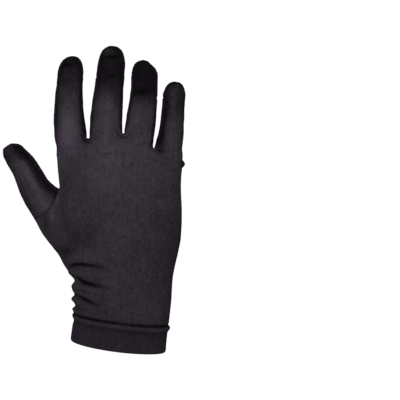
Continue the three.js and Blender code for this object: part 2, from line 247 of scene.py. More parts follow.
# small shifts that bring the outline home: (x, z) of the middle, (across, up) reach, (x, z) shift, in mm
shifts = [
    ((-41, 200), (13, 20), (1.2, 0)),
    ((-41, 226), (13, 9), (0, -0.7)),
    ((-6, 213), (13, 14), (0.8, 0)),
    ((-6, 236), (13, 9), (0, -0.7)),
    ((20, 204), (12, 14), (0.9, 0)),
    ((20, 224), (12, 9), (0, -0.6)),
    ((25.5, 219), (3.5, 4), (-1.0, -0.9)),
    ((27.5, 210), (3, 6), (0.6, 0)),
    ((46, 192), (9, 12), (-0.6, 0)),
    ((43, 207), (9, 8), (0, -0.6)),
    ((-49, 212), (6, 14), (0.5, 0)),
    ((-17, 222), (6, 12), (0.4, 0)),
    ((-51, 126), (8, 6), (0.8, -2.7)),
    ((-90, 139), (6, 7), (0.5, 0)),
    ((-73, 154), (7, 6), (-0.5, -0.9)),
    ((-72, 112), (12, 18), (-0.9, -0.3)),
    ((-35, 47), (7, 7), (1.0, 0)),
    ((-35, 32), (7, 8), (0.7, 0)),
    ((-36, 14), (7, 12), (1.0, 0)),
    ((-36, 20.5), (6, 2.6), (0.8, 0)),
    ((38, 2), (7, 10), (-0.7, 0)),
    ((-6, -4), (30, 7), (0, -0.7)),
    ((51, 155), (6, 12), (0.6, 0)),
    ((-49, 160), (6, 13), (-0.6, 0)),
    ((-42, 61), (6, 6), (-0.7, 0)),
    # the narrow openings' lower ends, drawn together again
    ((-25.2, 163), (2.2, 5), (0.45, 0)), ((-21.2, 163), (2.2, 5), (-0.45, 0)),
    ((1.7, 167), (2.2, 6), (0.7, 0)), ((6.2, 167), (2.2, 6), (-0.7, 0)),
    ((25.4, 156), (2.2, 6), (0.6, 0)), ((29.8, 157), (2.2, 6), (-0.6, 0)),
]


def settle(points):
    moved = points.copy()
    for (x, z), (across, up), (dx, dz) in shifts:
        weight = bell(np.hypot((points[:, 0] / mm - x) / across, (points[:, 2] / mm - z) / up), 1)
        moved[:, 0] += weight * dx * mm
        moved[:, 2] += weight * dz * mm
    return moved


hand, trees = makeForm()
print("hand form:", len(hand.data.polygons), "faces")


# which sewn piece each face belongs to, with the borders drawn onto the seams

sewn = {
    "gap": 0.15 * mm,        # the seam lies this far outside a solid's edge
    "chainTurns": 14,
    "easeTurns": 6,
    "easeWidth": 2.2 * mm,
    "wristCut": 22.2 * mm,
}


def nearestNode(place, names):
    return min(names, key=lambda name: trees[name].find_nearest(place)[3])


def labelFaces(bm):
    labels = [nearestNode(face.calc_center_median(), handNodes) for face in bm.faces]
    for turn in range(3):
        fresh = list(labels)
        for face in bm.faces:
            around = [labels[other.index] for edge in face.edges for other in edge.link_faces if other != face]
            for name in set(around):
                if name != labels[face.index] and around.count(name) >= 3:
                    fresh[face.index] = name
        labels = fresh
    return labels


def seamEdges(bm, labels):
    edges = []
    for edge in bm.edges:
        names = {labels[face.index] for face in edge.link_faces}
        if len(names) == 2:
            edges.append((edge, names))
    return edges


def alignSeams(bm, labels):
    edges = seamEdges(bm, labels)
    links = {}
    for edge, names in edges:
        for vert in edge.verts:
            links.setdefault(vert, []).append((edge.other_vert(vert), names))
    chain = {}
    for vert, ends in links.items():
        names = set().union(*(pair for other, pair in ends))
        if len(ends) == 2 and len(names) == 2:
            chain[vert] = [other for other, pair in ends]
            near, far = sorted(names, key=lambda name: trees[name].find_nearest(vert.co)[3])
            place = trees[far].find_nearest(vert.co)[0]
            move = place + (vert.co - place).normalized() * sewn["gap"] - vert.co
            vert.co += move - vert.normal * move.dot(vert.normal)
    for turn in range(sewn["chainTurns"]):
        middles = {vert: (ends[0].co + ends[1].co) / 2 for vert, ends in chain.items()}
        for vert, middle in middles.items():
            vert.co = vert.co.lerp(middle, 0.5)
    seam = KDTree(len(links))
    for i, vert in enumerate(links):
        seam.insert(vert.co, i)
    seam.balance()
    loose = [v for v in bm.verts if v not in links and seam.find(v.co)[2] < sewn["easeWidth"]]
    for turn in range(sewn["easeTurns"]):
        for vert in loose:
            middle = sum((edge.other_vert(vert).co for edge in vert.link_edges), Vector()) / len(vert.link_edges)
            move = (middle - vert.co) * 0.5
            vert.co += move - vert.normal * move.dot(vert.normal)
    return edges


def cutAtWrist(bm):
    # everything below the cuff's upper edge goes, the plug with it
    geom = bm.verts[:] + bm.edges[:] + bm.faces[:]
    bmesh.ops.bisect_plane(
        bm, geom=geom, plane_co=wristPlace(0, 0, sewn["wristCut"]), plane_no=wristWay, clear_inner=True
    )


def prepareHand():
    bm = bmesh.new()
    bm.from_mesh(hand.data)
    cutAtWrist(bm)
    bm.normal_update()
    bm.faces.index_update()
    labels = labelFaces(bm)
    borders = alignSeams(bm, labels)
    bm.normal_update()
    bm.to_mesh(hand.data)
    seams = {"thumb": [], "base": [], "side": []}
    for edge, names in borders:
        if isSeam(edge, names):
            seams[seamKind(names)].append((edge.verts[0].co.copy(), edge.verts[1].co.copy()))
    bm.free()
    return labels, seams


def seamKind(names):
    if "thumb" in names:
        return "thumb"
    return "base" if names == {"palm_panel", "little_finger_front"} else "side"


def isSeam(edge, names):
    # back and palm are one cloth where they meet below the little finger
    place = (edge.verts[0].co + edge.verts[1].co) / 2
    return names != {"back_panel", "palm_panel"} or place.x < 0 or place.z > 150 * mm


def seamDistance(points, *kinds):
    # from the borders as they were sewn, up to 10 mm
    edges = [edge for kind in kinds for edge in seams[kind]]
    tree = KDTree(len(edges))
    for i, (a, b) in enumerate(edges):
        tree.insert((a + b) / 2, i)
    tree.balance()
    found = np.full(len(points), 10 * mm)
    for i, point in enumerate(points):
        place = Vector(point)
        for middle, number, far in tree.find_n(place, 3):
            a, b = edges[number]
            t = max(0, min(1, (place - a).dot(b - a) / max((b - a).length_squared, 1e-12)))
            found[i] = min(found[i], (place - a.lerp(b, t)).length)
    return found


labels, seams = prepareHand()
print("sewn borders:", {kind: len(edges) for kind, edges in seams.items()})


# folds, drawn along lines on the cloth

# Each fold: where its line runs, seen from the back or the palm (x, z), in millimetres; deep is the groove's
# depth, wide its half-width, roll the height of the cloth pushed up beside it, aside how far off that lies,
# and shade how much painted shade darkens the groove's colour, where that doesn't follow from its depth.
folds = {
    "wristUpper": {"line": [(-41.5, 56.5), (-38.2, 61.1), (-35.5, 62.5), (-30.6, 63.2), (-22.8, 62.5),
                            (-16, 61.4), (-9, 59.7), (-2, 57.5)],
                   "deep": 1.6, "wide": 1.3, "roll": 1.1, "aside": 3.8},
    "wristMiddle": {"line": [(-36.5, 55), (-33.5, 53.2), (-27.7, 49.4), (-21.9, 47.9), (-16, 46.2), (-9, 44.8),
                             (-2, 43)],
                    "deep": 1.9, "wide": 1.5, "roll": 1.1, "aside": 3.6},
    "wristFaint": {"line": [(-36.5, 45), (-30.6, 43.5), (-24, 41.4), (-17.2, 39.2)],
                   "deep": 0.7, "wide": 1.2, "roll": 0.4, "aside": 2.4},
    "wristLower": {"line": [(-36.5, 40.6), (-29.7, 38.2), (-24.3, 35.3), (-19.5, 32.7), (-13, 30.5), (-8, 29)],
                   "deep": 1.7, "wide": 1.4, "roll": 0.9, "aside": 3.2},
    "wristShort": {"line": [(-36.5, 31.5), (-31, 29.4), (-25, 27.6)],
                   "deep": 0.8, "wide": 1.2, "roll": 0.4, "aside": 2.4},
    "thumbDent": {"line": [(-45, 77), (-41.5, 74.5), (-37, 72.8), (-32, 72.5)],
                  "deep": 1.1, "wide": 2.4, "roll": 0.5, "aside": 4.5, "shade": 0.1},
    "indexCrotch": {"line": [(-28.2, 164.5), (-26.4, 160.2), (-23.1, 157.8), (-20.2, 158.8), (-18.2, 162)],
                    "deep": 0.9, "wide": 0.9, "roll": 0.5, "aside": 1.9, "shade": 0.3},
    "middleCrotch": {"line": [(-0.8, 167), (0.9, 163.4), (4.6, 161.2), (8.3, 163.0), (10.4, 167)],
                     "deep": 0.9, "wide": 0.9, "roll": 0.5, "aside": 1.9, "shade": 0.3},
    "ringCrotch": {"line": [(26, 157), (28.2, 153.4), (31.6, 150.9), (36.2, 150.4)],
                   "deep": 1.1, "wide": 1.0, "roll": 0.6, "aside": 1.9, "shade": 0.6},
    "indexTip": {"line": [(-43, 216.5), (-38.5, 217.6), (-35, 217)],
                 "deep": 0.5, "wide": 1.3, "roll": 0.2, "aside": 2.6},
    "middleTip": {"line": [(-10, 226), (-6, 223.6), (-1, 224.4), (2.5, 226)],
                  "deep": 0.6, "wide": 1.3, "roll": 0.35, "aside": 2.6},
    "middleJoint": {"line": [(-11, 209.5), (-5, 208.6), (0, 209.6)],
                    "deep": 0.4, "wide": 1.3, "roll": 0.2, "aside": 2.6},
    "knuckleLine": {"line": [(-15, 149.4), (-3, 148.8), (10, 149.6)],
                    "deep": 0.3, "wide": 0.9, "roll": 0.15, "aside": 1.8},
    "ringJoint": {"line": [(13, 197.6), (18.5, 196.4), (23.5, 197.2)],
                  "deep": 0.35, "wide": 1.3, "roll": 0.2, "aside": 2.6},
}
# creases on the palm's side
palmFolds = {
    "indexPad": {"line": [(-45.5, 191), (-40, 189.5), (-34.5, 190.5)],
                 "deep": 0.7, "wide": 1.1, "roll": 0.3, "aside": 2.2},
    "indexBend": {"line": [(-43.5, 174), (-38, 173.4), (-32, 174)],
                  "deep": 0.35, "wide": 1.2, "roll": 0.2, "aside": 2.4},
    "middlePad": {"line": [(-11, 199.5), (-5, 198.6), (1.5, 199.5)],
                  "deep": 0.7, "wide": 1.1, "roll": 0.3, "aside": 2.2},
    "middleBend": {"line": [(-12, 184), (-5.5, 183.3), (1, 184)],
                   "deep": 0.35, "wide": 1.2, "roll": 0.2, "aside": 2.4},
    "ringBend": {"line": [(13, 176.5), (18, 175.4), (25.5, 176.5)],
                 "deep": 0.5, "wide": 1.2, "roll": 0.2, "aside": 2.4},
    "littlePad": {"line": [(37.5, 175.6), (42.5, 174), (47.5, 175.2)],
                  "deep": 0.6, "wide": 1.1, "roll": 0.3, "aside": 2.2},
    "littleBend": {"line": [(36, 160.4), (41.5, 159.4), (47.5, 160.2)],
                   "deep": 0.4, "wide": 1.2, "roll": 0.2, "aside": 2.4},
    "heelUpper": {"line": [(-24, 70), (-12, 66), (4, 66.5), (22, 70)],
                  "deep": 0.5, "wide": 2.2, "roll": 0.3, "aside": 4.5},
    "heelLower": {"line": [(-32, 52), (-22, 49), (-10, 49.5), (4, 52)],
                  "deep": 0.6, "wide": 1.8, "roll": 0.4, "aside": 4.0},
    "wristSide": {"line": [(-33, 38), (-24, 36), (-12, 37)],
                  "deep": 0.5, "wide": 1.6, "roll": 0.3, "aside": 3.4},
}
# the slack cloth on the thumb's side of the wrist: (height at the side, push, half-width), in mm
gathers = {
    "rows": [(50.5, -0.9, 1.9), (45.1, 0.9, 2.6), (39.7, -0.8, 1.6), (36.6, 0.8, 2.0), (31.9, -0.8, 1.6),
             (28.6, 0.9, 2.0)],
    "slope": 0.33,           # they run down towards the back of the hand
    "from": -24 * mm, "full": -33 * mm,
}
# the lump where the little finger's base seam ends, and the dent round it
nub = {
    "place": (50.5, 141.4),
    "size": 2.3 * mm, "high": 2.3 * mm,
    "dentAway": 3.6 * mm, "dentWide": 0.9 * mm, "dentDeep": 0.4 * mm,
    "noSeam": 3 * mm,        # the seam's own groove fades this near to it
}
# What the stitches do to the cloth, in mm: the groove's depth and half-width, then the height, the distance and
# the half-width of the cloth beside it, which the edges folded in beneath lift, though less on the thumb's side.
stitched = {
    "thumb": {"deep": 0.55, "wide": 0.9, "lift": 0.6, "thumbLift": 0.15, "aside": 1.9, "liftWide": 0.95},
    "base": {"deep": 0.5, "wide": 0.9, "lift": 0.45, "aside": 1.8, "liftWide": 0.9},
    "side": {"deep": 0.28, "wide": 0.8, "lift": 0.12, "aside": 1.7, "liftWide": 0.8},
}
pucker = {"high": 0.16, "size": 3.2 * mm, "wide": 2.0}
# unevenness of the whole cloth: height and size
uneven = [(0.12 * mm, 9 * mm), (0.1 * mm, 20 * mm)]
# the cloth's lower edge is drawn in and down to the cuff
lowerEdge = {"fade": 2.4 * mm, "tuck": 0.75 * mm, "tuckWide": 0.8 * mm, "down": 0.5 * mm, "downWide": 1.6 * mm}
# where the glove is seen from
camera = {
    "distance": 950 * mm,
    "height": 113 * mm,
    "pictureWidth": 310.8 * mm,   # at the glove
    "aimAside": 63.6 * mm,        # the glove stands in the left half of the picture
}


def onForm(tree, x, z, side):
    # the point of the cloth that the camera sees at x, z in the glove's middle plane
    eye = Vector((0, side * camera["distance"], camera["height"]))
    way = (Vector((x * mm, 0, z * mm)) - eye).normalized()
    place = tree.ray_cast(eye, way)[0]
    if place is None:
        place = tree.find_nearest(Vector((x * mm, 0, z * mm)))[0]
    return place


def roundedLine(points, turns=3):
    # corner cutting, with the ends kept
    for turn in range(turns):
        fresh = [points[0]]
        for a, b in zip(points, points[1:]):
            fresh += [a.lerp(b, 0.25), a.lerp(b, 0.75)]
        points = fresh + [points[-1]]
    return points


def lineDistance(points, line):
    # for each point: distance to the line, the share along it, and the way across from its nearest point
    a = np.array([tuple(p) for p in line[:-1]])
    b = np.array([tuple(p) for p in line[1:]])
    lengths = np.linalg.norm(b - a, axis=1)
    starts = np.concatenate(([0], np.cumsum(lengths)))
    best = np.full(len(points), 1e9)
    share = np.zeros(len(points))
    away = np.zeros((len(points), 3))
    along = np.zeros((len(points), 3))
    for i, (p, q) in enumerate(zip(a, b)):
        t = np.clip((points - p) @ (q - p) / max(lengths[i] ** 2, 1e-14), 0, 1)
        offset = points - (p + t[:, None] * (q - p))
        distance = np.linalg.norm(offset, axis=1)
        near = distance < best
        best[near] = distance[near]
        share[near] = (starts[i] + t[near] * lengths[i]) / starts[-1]
        away[near] = offset[near]
        along[near] = (q - p) / max(lengths[i], 1e-9)
    return best, share, away, along


def drawFold(points, normals, tree, fold, side):
    line = roundedLine([onForm(tree, x, z, side) for x, z in fold["line"]])
    distance, share, away, along = lineDistance(points, line)
    across = np.einsum("ij,ij->i", np.cross(along, normals), away)
    ends = smoothStep(share, 0, 0.15) * (1 - smoothStep(share, 0.4, 1))
    deep = fold["deep"] * mm * bell(distance, fold["wide"] * mm)
    beside = distance * np.sign(across) - fold["aside"] * mm
    roll = fold["roll"] * mm * bell(beside, fold["aside"] * 0.6 * mm)
    shade = fold.get("shade", min(fold["deep"] / 1.6, 1))
    # painted shade in the fold's groove, kept for the colour
    groove = shade * bell(distance, fold["wide"] * 0.75 * mm) * ends * smoothStep(share, 0, 0.3)
    return (roll - deep) * ends, groove


def drawGathers(points):
    level = points[:, 2] / mm + gathers["slope"] * (points[:, 0] / mm + 35)
    push = sum(high * bell(level - height, wide) for height, high, wide in gathers["rows"])
    return push * mm * smoothStep(-points[:, 0], -gathers["from"], -gathers["full"])


def drawSeams(points, onThumb):
    push = np.zeros(len(points))
    nearest = np.full(len(points), 10.0)
    for kind, facts in stitched.items():
        away = seamDistance(points, kind) / mm
        lift = np.where(onThumb, facts.get("thumbLift", facts["lift"]), facts["lift"])
        push += lift * bell(away - facts["aside"], facts["liftWide"]) - facts["deep"] * bell(away, facts["wide"])
        nearest = np.minimum(nearest, away)
    push += pucker["high"] * ripple(points, pucker["size"], 11) * bell(nearest, pucker["wide"])
    return push * mm


def nubDistance(points):
    # from the end of the little finger's base seam
    x, z = nub["place"]
    end = min((a for a, b in seams["base"]), key=lambda a: (a - Vector((x * mm, 0, z * mm))).length)
    return np.linalg.norm(points - np.array(end), axis=1)


def wristHeight(points):
    # above the cut where the cuff is sewn on
    return (points - np.array(wristPlace(0, 0, sewn["wristCut"]))) @ np.array(wristWay)


def sculptHand():
    points = readVectors(hand.data.vertices, "co")
    normals = readVectors(hand.data.vertices, "normal")
    tree = BVHTree.FromPolygons([tuple(p) for p in points], [tuple(f.vertices) for f in hand.data.polygons])
    onThumb = np.zeros(len(points), dtype=bool)
    for polygon, label in zip(hand.data.polygons, labels):
        if label == "thumb":
            onThumb[list(polygon.vertices)] = True
    away = nubDistance(points)
    push = drawGathers(points) + drawSeams(points, onThumb) * (1 - bell(away, nub["noSeam"]))
    push += nub["high"] * bell(away, nub["size"]) - nub["dentDeep"] * bell(away - nub["dentAway"], nub["dentWide"])
    # painted shade along the folds' grooves, kept as an attribute for the colour
    shade = np.zeros(len(points))
    for side, drawn in ((-1, folds), (1, palmFolds)):
        for fold in drawn.values():
            move, groove = drawFold(points, normals, tree, fold, side)
            push += move
            shade = np.maximum(shade, groove)
    for seed, (high, size) in enumerate(uneven, 3):
        push += high * ripple(points, size, seed)
    height = wristHeight(points)
    push *= smoothStep(height, 0, lowerEdge["fade"])
    push -= lowerEdge["tuck"] * bell(height, lowerEdge["tuckWide"])
    down = np.array(wristWay) * (lowerEdge["down"] * bell(height, lowerEdge["downWide"]))[:, None]
    movePoints(hand, points + normals * push[:, None] - down)
    hand.data.attributes.new("groove", "FLOAT", "POINT").data.foreach_set("value", shade)


sculptHand()
print("folds drawn")


# the knit's own map, in millimetres: u across the wales, v along them

knit = {
    "sideRound": {"palm": 17, "finger": 10},
    "thumbWay": Vector((-0.5, 0, 0.866)),
    "thumbAcross": Vector((0.866, 0, 0.5)),
    "thumbRound": 11,
}


def knitMap(points, normals, thumb):
    if thumb:
        u = points @ np.array(knit["thumbAcross"]) / mm
        v = points @ np.array(knit["thumbWay"]) / mm
        lean = normals @ np.array(knit["thumbAcross"])
        radius = np.full(len(points), knit["thumbRound"], dtype=float)
    else:
        u = points[:, 0] / mm
        v = points[:, 2] / mm
        lean = normals[:, 0]
        upper = smoothStep(points[:, 2], 130 * mm, 158 * mm)
        radius = knit["sideRound"]["palm"] * (1 - upper) + knit["sideRound"]["finger"] * upper
    turn = np.arctan2(lean, np.abs(normals[:, 1]))
    return u + radius * (turn - np.sin(turn)), v


# tones of the cloth: painted highlights and painted shade where the light falls on the hand and where it turns away,
# darker towards the fingertips on the back

tones = {
    "base": 0.53,
    "wrist": -0.11,          # painted shade at the wrist: the tone is less there, growing over these heights
    "heights": (25, 150),
    "palmSides": 0.15,       # painted shade round the sides, where the surface turns away from the front
    "fingerSides": 0.44,     # and more so on the fingers
    "thumbInner": 0.24,      # painted shade on the thumb's two sides, and darker towards its end
    "thumbOuter": 0.25,
    "thumbEnd": 0.25,
    "groove": 0.68,          # painted shade in the folds and at the lower edge
    "edge": 0.5,
    "tips": {
        # up to which x the finger reaches, where its dark end starts and where it is full, and how dark
        "index": {"upTo": -22, "start": 184, "full": 216, "tone": 0.12},
        "middle": {"upTo": 5.5, "start": 178, "full": 213, "tone": 0.06},
        "ring": {"upTo": 31, "start": 184, "full": 200, "tone": 0.05},
        "little": {"upTo": 90, "start": 168, "full": 192, "tone": 0.3},
    },
    # painted highlights and painted shade on the back, where the light falls on fingers and knuckles and where sides,
    # joints and crotches turn from it: (x, z), (across, up), change
    "back": [
        ((-38, 167), (6, 13), 0.6),
        ((-47.5, 178), (4, 15), -0.28),
        ((-43, 188), (5, 5), -0.1),
        ((-47, 133), (3, 14), 0.22),
        ((-9, 166), (5, 22), 0.18),
        ((-5, 149), (26, 14), 0.14),
        ((17, 175), (8, 14), -0.08),
        ((19, 189), (9, 5), -0.16),
        ((46, 110), (7, 45), -0.05),
        ((-26.5, 172), (3.0, 17), -0.35),
        ((-8.5, 186), (3.5, 9), 0.1),
        ((-2, 188), (3.5, 8), -0.08),
        ((-33, 38), (5, 16), 0.1),
        ((16, 168), (8, 12), 0.05),
        ((32.5, 164), (3.4, 12), -0.62),
        ((41, 159), (5, 10), 0.08),
        ((42, 184), (6, 8), -0.08),
        ((35, 180), (3.4, 13), -0.42),
        ((47, 181), (3, 8), -0.12),
        ((22, 160), (6, 8), 0.12),
        ((13, 175), (4, 9), 0.14),
        ((42.5, 190), (2.2, 10), 0.2),
        ((-9, 230), (5, 5), 0.3),
        ((-41, 222), (4, 3), 0.1),
        ((-5, 223.6), (7, 1.6), -0.12),
        ((-38.5, 217.4), (6, 1.8), -0.15),
        ((18.5, 196.5), (8, 3.0), -0.12),
        ((-2, 128), (24, 14), 0.10),
        ((-36, 128), (9, 16), -0.12),
        ((-32, 86), (13, 12), -0.18),
        ((34, 120), (12, 9), -0.12),
        ((40, 76), (12, 22), -0.12),
        ((-24, 70), (16, 5), 0.10),
        ((-42, 73.5), (7, 3.5), -0.22),
        ((-47, 116), (1.8, 6), 0.2),
        ((-50.5, 103), (1.8, 9), 0.22),
        ((-56, 98), (3, 6), -0.15),
        ((-26, 57), (12, 3), 0.08),
        ((-23, 158), (4.5, 1.8), -0.12),
        ((4.5, 162), (4.5, 1.8), -0.12),
        ((31.5, 150.5), (4, 1.6), -0.2),
        ((50, 141), (3, 3), -0.3),
    ],
    # painted shade bands and painted highlight streaks on the thumb, along a line of (x, z): width, change
    "thumbBack": [
        ([(-76, 153), (-71, 147), (-62.3, 136), (-47.5, 119)], 5.0, -0.28),
        ([(-73, 140), (-66, 126), (-56, 108)], 2.6, 0.26),
    ],
    "thumbPalm": [
        ([(-84, 147), (-77, 141)], 5.0, 0.3),
        ([(-72, 124), (-58, 130)], 4.5, -0.28),
        ([(-61, 106), (-49, 92)], 6.5, 0.42),
        ([(-41, 78), (-34, 70)], 5.0, -0.22),
    ],
    # painted shade across the finger joints, the crotches and the heel, and painted highlights on the finger pads and
    # the middle of the palm: (x, z), (across, up), change
    "palm": [
        ((-38, 181.5), (13, 7), -0.36),
        ((-38, 200), (8, 8), 0.3),
        ((-5, 190.5), (13, 8), -0.42),
        ((-5, 212), (8, 10), 0.45),
        ((18, 184), (12, 8), -0.34),
        ((18, 205), (8, 10), 0.35),
        ((42, 166), (12, 5), -0.36),
        ((44, 186), (7, 8), 0.25),
        ((0, 57), (30, 10), -0.35),
        ((0, 110), (25, 25), 0.1),
        ((28, 152), (8, 4), -0.3),
    ],
}


def toneOf(points, normals, thumb):
    x, y, z = points[:, 0] / mm, points[:, 1] / mm, points[:, 2] / mm
    front = -normals[:, 1]
    tone = tones["base"] + tones["wrist"] * (1 - smoothStep(z, *tones["heights"]))
    if thumb:
        v = points @ np.array(knit["thumbWay"]) / mm
        lean = normals @ np.array(knit["thumbAcross"])
        tone -= tones["thumbInner"] * smoothStep(front, -0.3, 0.3) * smoothStep(lean, 0, 0.6)
        tone -= tones["thumbOuter"] * smoothStep(-lean, 0.35, 0.95)
        tone -= tones["thumbEnd"] * smoothStep(v, 156, 174) * smoothStep(front, -0.3, 0.4)
        flat = np.column_stack((x, np.zeros(len(x)), z))
        for side, way in (("thumbBack", 1), ("thumbPalm", -1)):
            for line, width, change in tones[side]:
                away = lineDistance(flat, roundedLine([Vector((px, 0, pz)) for px, pz in line]))[0]
                tone += change * bell(away, width) * smoothStep(way * front, -0.3, 0.3)
    else:
        low = -1e9
        wavy = 1.6 * ripple(points, 9 * mm, 8)
        for tip in tones["tips"].values():
            mine = (x > low) & (x <= tip["upTo"])
            end = smoothStep(z + wavy, tip["start"], tip["full"]) * smoothStep(front, -0.45, 0.1)
            tone = np.where(mine, tone + (tip["tone"] - tone) * end, tone)
            low = tip["upTo"]
        sides = tones["palmSides"] + tones["fingerSides"] * smoothStep(z, 140, 160)
        tone -= sides * (1 - smoothStep(np.abs(front), 0.15, 0.95))
        for side, way in (("back", 1), ("palm", -1)):
            for (px, pz), (across, up), change in tones[side]:
                near = bell(np.hypot((x - px) / across, (z - pz) / up), 1)
                tone += change * near * smoothStep(way * front, -0.2, 0.4)
    return np.clip(tone + 0.05 * ripple(points, 30 * mm, 5), 0, 1.1)


def dressPiece(obj, thumb=False):
    mesh = obj.data
    points = readVectors(mesh.vertices, "co")
    normals = readVectors(mesh.vertices, "normal")
    u, v = knitMap(points, normals, thumb)
    layer = mesh.uv_layers.new(name="knit")
    corners = np.empty(len(mesh.loops), dtype=int)
    mesh.loops.foreach_get("vertex_index", corners)
    layer.data.foreach_set("uv", np.column_stack((u, v))[corners].ravel())
    groove = np.empty(len(points))
    mesh.attributes["groove"].data.foreach_get("value", groove)
    # painted shade in the folds and along the lower edge, where the cloth tucks under the cuff
    edge = bell(wristHeight(points) + lowerEdge["down"], lowerEdge["tuckWide"])
    shade = toneOf(points, normals, thumb) - tones["groove"] * groove - tones["edge"] * edge
    mesh.attributes.new("tone", "FLOAT", "POINT").data.foreach_set("value", shade)
    # the strips' seams are finer than the others, so they count as lying farther off
    far = np.minimum(seamDistance(points, "thumb", "base"), seamDistance(points, "side") + 0.45 * mm)
    mesh.attributes.new("seam", "FLOAT", "POINT").data.foreach_set("value", far / mm)
    mesh.shade_smooth()


# the sewn pieces of the hand

cloth = {"wall": 0.9 * mm}
sewnPieces = {
    "hand_cloth": {"nodes": ["back_panel", "palm_panel"], "slot": "hand_knit"},
    "little_finger_front_cloth": {"nodes": ["little_finger_front"], "slot": "hand_knit"},
    "thumb_cloth": {"nodes": ["thumb"], "slot": "hand_knit"},
    "strip_index_middle": {"nodes": ["fourchette_index_middle"], "slot": "strip_knit"},
    "strip_middle_ring": {"nodes": ["fourchette_middle_ring"], "slot": "strip_knit"},
    "strip_ring_little": {"nodes": ["fourchette_ring_little"], "slot": "strip_knit"},
}


def cutPiece(name, nodes):
    bm = bmesh.new()
    bm.from_mesh(hand.data)
    others = [face for face, label in zip(bm.faces, labels) if label not in nodes]
    bmesh.ops.delete(bm, geom=others, context="FACES")
    piece = objectFrom(bm, name)
    dressPiece(piece, thumb="thumb" in nodes)
    applyModifier(piece, "SOLIDIFY", thickness=cloth["wall"], offset=-1, use_even_offset=False)
    return piece


parts = {}
for name, facts in sewnPieces.items():
    piece = cutPiece(name, facts["nodes"])
    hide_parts(*facts["nodes"])
    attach(piece, "root")
    parts[name] = piece
    print(name, len(piece.data.polygons), "faces")
bpy.data.objects.remove(hand)


# the ribbed cuff, a double hem turned up inside

cuff = {
    "columns": 132 * 7,
    "ribs": 132,
    "ribDepth": 0.22 * mm,
    "stitchesRound": 198,
    # (height in mm up the cuff, mm outwards from its oval), from the seam's edge inside round to the one outside
    "profile": [
        (24.0, -2.9), (22.6, -2.7), (21.4, -2.4), (20.4, -2.2), (16, -2.2), (11, -2.2), (6, -2.2), (2.4, -2.1),
        (1.0, -1.95), (0.3, -1.6), (0.0, -1.1), (0.15, -0.6), (0.7, -0.2), (1.6, 0.0), (3, 0.1), (4.5, 0.12),
        (6, 0.12), (8, 0.1), (10, 0.05), (12, 0.0), (14, -0.1), (15.6, -0.15), (16.9, 0.15), (18.1, 0.6),
        (19.1, 0.75), (20.1, 0.5), (20.7, 0.0), (20.95, -0.7), (21.1, -1.4), (21.8, -1.8), (22.8, -2.1), (24.0, -2.4),
    ],
    "rollEnd": {"high": 0.7 * mm, "level": 18.6 * mm, "wide": 1.7 * mm, "reach": 0.3},    # its fuller right end
    # painted highlight on the roll and painted shade below it: (level, half-width, change), and painted shade inside
    # the seam
    "tone": 0.5,
    "bands": [(19, 1.2, 0.25), (15.8, 1.6, -0.2)],
    "seam": (20.3, 20.9, 0.6),
}


def cuffRings():
    # a circle drawn up once for each further row of the profile
    deselectAll()
    bpy.ops.mesh.primitive_circle_add(vertices=cuff["columns"], radius=0.5, location=(0, 0, 0))
    obj = bpy.context.object
    obj.name = "cuff_cloth"
    bpy.ops.object.mode_set(mode="EDIT")
    bpy.ops.mesh.select_all(action="SELECT")
    for row in cuff["profile"][1:]:
        bpy.ops.mesh.extrude_region_move(TRANSFORM_OT_translate={"value": (0, 0, 1 * mm)})
    bpy.ops.object.mode_set(mode="OBJECT")
    return obj


def cuffPlaces(turn, up, out):
    # on the wrist's oval, with the ribs, and tilted as the wrist is
    power = 2 / wrist["square"]
    c, s = np.cos(turn), np.sin(turn)
    half = np.array([wrist["width"] / 2, wrist["depth"] / 2])
    x = np.sign(c) * np.abs(c) ** power * half[0]
    y = np.sign(s) * np.abs(s) ** power * half[1]
    nx, ny = c / half[0], s / half[1]
    size = np.hypot(nx, ny)
    nx, ny = nx / size, ny / size
    end = cuff["rollEnd"]
    proud = out + np.sin(turn * cuff["ribs"]) * cuff["ribDepth"] * smoothStep(out, -1.4 * mm, -0.2 * mm)
    proud += end["high"] * bell(up - end["level"], end["wide"]) * bell(turn, end["reach"])
    shift = wrist["shift"] * up / wrist["height"]
    placed = np.column_stack((x + nx * proud + shift, y + ny * proud, np.zeros(len(x))))
    placed = placed @ np.array([list(line) for line in wristTurn]).T
    placed[:, 2] += up
    return settle(placed)


def closeCuff(obj):
    makeActive(obj)
    bpy.ops.object.mode_set(mode="EDIT")
    bpy.ops.mesh.select_mode(type="EDGE")
    bpy.ops.mesh.select_all(action="DESELECT")
    bpy.ops.mesh.select_non_manifold()
    bpy.ops.mesh.bridge_edge_loops()
    bpy.ops.mesh.select_all(action="SELECT")
    bpy.ops.mesh.normals_make_consistent(inside=False)
    bpy.ops.object.mode_set(mode="OBJECT")


def makeCuff():
    obj = cuffRings()
    points = readVectors(obj.data.vertices, "co")
    row = np.round(points[:, 2] / mm).astype(int)
    turn = np.arctan2(points[:, 1], points[:, 0])
    levels, outs = np.array(cuff["profile"]).T
    movePoints(obj, cuffPlaces(turn, levels[row] * mm, outs[row] * mm))
    closeCuff(obj)
    layer = obj.data.uv_layers.new(name="knit")
    corners = np.empty(len(obj.data.loops), dtype=int)
    obj.data.loops.foreach_get("vertex_index", corners)
    around = turn / (2 * math.pi) * cuff["stitchesRound"]
    length = np.concatenate(([0], np.cumsum(np.hypot(np.diff(levels), np.diff(outs)))))[row]
    layer.data.foreach_set("uv", np.column_stack((around, length))[corners].ravel())
    # painted shade inside the seam and below the roll, a painted highlight on the roll
    low, high, dark = cuff["seam"]
    shade = cuff["tone"] - dark * smoothStep(levels[row], low, high)
    for level, wide, change in cuff["bands"]:
        shade += change * bell(levels[row] - level, wide)
    obj.data.attributes.new("tone", "FLOAT", "POINT").data.foreach_set("value", shade)
    obj.data.attributes.new("seam", "FLOAT", "POINT").data.foreach_set("value", np.full(len(points), 10.0))
    obj.data.shade_smooth()
    return obj


cuffCloth = makeCuff()
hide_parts("cuff_band")
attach(cuffCloth, "root")
print("cuff", len(cuffCloth.data.polygons), "faces")


